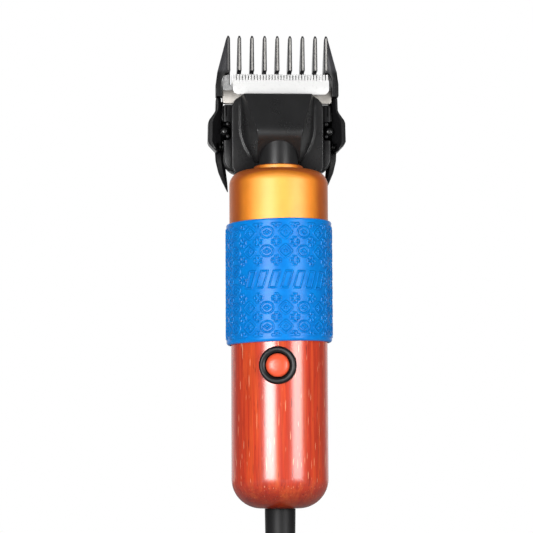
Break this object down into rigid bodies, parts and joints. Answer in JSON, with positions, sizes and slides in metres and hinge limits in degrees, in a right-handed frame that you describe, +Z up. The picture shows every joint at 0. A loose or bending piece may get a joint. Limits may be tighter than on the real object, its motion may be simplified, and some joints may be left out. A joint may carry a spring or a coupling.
{
  "type": "corded animal clipper",
  "caption": "Corded hand clipper for animal coats: wooden handle, metal motor barrel, rubber grip sleeve, rocker-driven blade head and clip-on guide comb.",
  "frame": {"origin": "centre of the power cable's flat cut end, on the axis of the handle and barrel", "axes": "+Z runs up the axis from the cable to the comb's tips; -Y is the front, where the switch and the cutter face the user; +X is to the right when looking along +Y"},
  "size_m": [0.057, 0.0435, 0.2558],
  "materials": {
    "wood": "glossy lacquer over red-orange hardwood",
    "anodised_gold": "fine satin gold anodising",
    "blue_rubber": "satin",
    "black_plastic": "fine matte texture",
    "black_gloss": "semi-gloss",
    "red_plastic": "satin",
    "cable_rubber": "satin",
    "ceramic": "white fired ceramic, smooth",
    "blade_steel": "ground across the teeth",
    "steel": "turned",
    "bronze": "sintered, oiled",
    "copper": "enamelled",
    "ferrite": "dull, fired",
    "carbon": "dull, pressed",
    "circuit_board": "green solder mask",
    "wire_brown": "satin",
    "wire_blue": "satin"
  },
  "bodies": {
    "housing": {"handle_shell": "wood", "joint_ring": "steel", "joint_screw_1": "steel", "joint_screw_2": "steel", "switch_bezel": "black_gloss", "switch_nut": "steel", "switch_body": "black_plastic", "button_spring": "steel", "strain_relief": "cable_rubber", "power_cable": "cable_rubber", "cord_clamp": "black_plastic", "circuit_board": "circuit_board", "bridge_rectifier": "black_plastic", "lead_live": "wire_brown", "lead_neutral": "wire_blue", "grip_sleeve": "blue_rubber", "motor_barrel": "anodised_gold", "collar_ring": "anodised_gold", "motor_can": "steel", "motor_end_bell": "black_plastic", "magnet_left": "ferrite", "magnet_right": "ferrite", "brush_left": "carbon", "brush_right": "carbon", "rear_bush": "bronze", "front_bush": "bronze", "neck_tube": "black_gloss", "neck_bush": "bronze", "bearing_outer_race": "steel", "rocker_pin": "steel", "tension_spring": "steel", "bottom_blade": "blade_steel", "blade_screw_left": "steel", "blade_screw_right": "steel", "head_base": "black_plastic", "head_cover": "black_plastic", "cover_screw_1": "steel", "cover_screw_2": "steel", "cover_screw_3": "steel", "cover_screw_4": "steel", "latch_pin_left": "steel", "latch_pin_right": "steel", "latch_spring_left": "steel", "latch_spring_right": "steel"},
    "button": {"button_cap": "red_plastic"},
    "rotor": {"motor_shaft": "steel", "armature_core": "steel", "armature_winding": "copper", "commutator": "copper", "cooling_fan": "black_plastic", "bearing_inner_race": "steel", "eccentric": "steel"},
    "bearing_cage": {"bearing_ball_cage": "steel"},
    "crank_roller": {"eccentric_roller": "steel"},
    "rocker": {"drive_rocker": "steel"},
    "cutter": {"cutter": "ceramic", "cutter_carrier": "black_plastic"},
    "latch_left": {"latch_lever_left": "black_plastic"},
    "latch_right": {"latch_lever_right": "black_plastic"},
    "comb": {"guide_comb": "black_plastic"}
  },
  "joints": [
    {"name": "rotor_spin", "type": "hinge", "parent": "housing", "child": "rotor", "pos_m": [0, 0, 0.17], "axis": [0, 0, 1], "continuous": true},
    {"name": "cage_spin", "type": "hinge", "parent": "housing", "child": "bearing_cage", "pos_m": [0, 0, 0.2068], "axis": [0, 0, 1], "continuous": true},
    {"name": "roller_spin", "type": "hinge", "parent": "rotor", "child": "crank_roller", "pos_m": [-0.0012, 0, 0.2154], "axis": [0, 0, 1], "continuous": true},
    {"name": "rocker_swing", "type": "hinge", "parent": "housing", "child": "rocker", "pos_m": [0, 0, 0.2215], "axis": [0, 1, 0], "range_deg": [-22.6, 0]},
    {"name": "cutter_slide", "type": "slide", "parent": "housing", "child": "cutter", "axis": [1, 0, 0], "range_m": [-0.0031, 0]},
    {"name": "latch_left_pivot", "type": "hinge", "parent": "housing", "child": "latch_left", "pos_m": [-0.0216, 0.01, 0.2163], "axis": [0, 1, 0], "range_deg": [-8, 0], "stiffness_Nm_per_rad": 0.05, "deforming": ["latch_spring_left"]},
    {"name": "latch_right_pivot", "type": "hinge", "parent": "housing", "child": "latch_right", "pos_m": [0.0216, 0.01, 0.2163], "axis": [0, 1, 0], "range_deg": [0, 8], "stiffness_Nm_per_rad": 0.05, "deforming": ["latch_spring_right"]},
    {"name": "comb_slide", "type": "slide", "parent": "housing", "child": "comb", "axis": [0, 0, 1], "range_m": [0, 0.03]},
    {"name": "button_press", "type": "slide", "parent": "housing", "child": "button", "axis": [0.0976, 0.9952, 0], "range_m": [0, 0.0015], "stiffness_N_per_m": 400, "deforming": ["button_spring"]}
  ],
  "couplings": [
    {"joint": "cage_spin", "follows": "rotor_spin", "ratio": 0.39},
    {"joint": "roller_spin", "follows": "rotor_spin", "ratio": -1},
    {"joint": "cutter_slide", "follows": "rocker_swing", "m_per_rad": 0.00775}
  ]
}
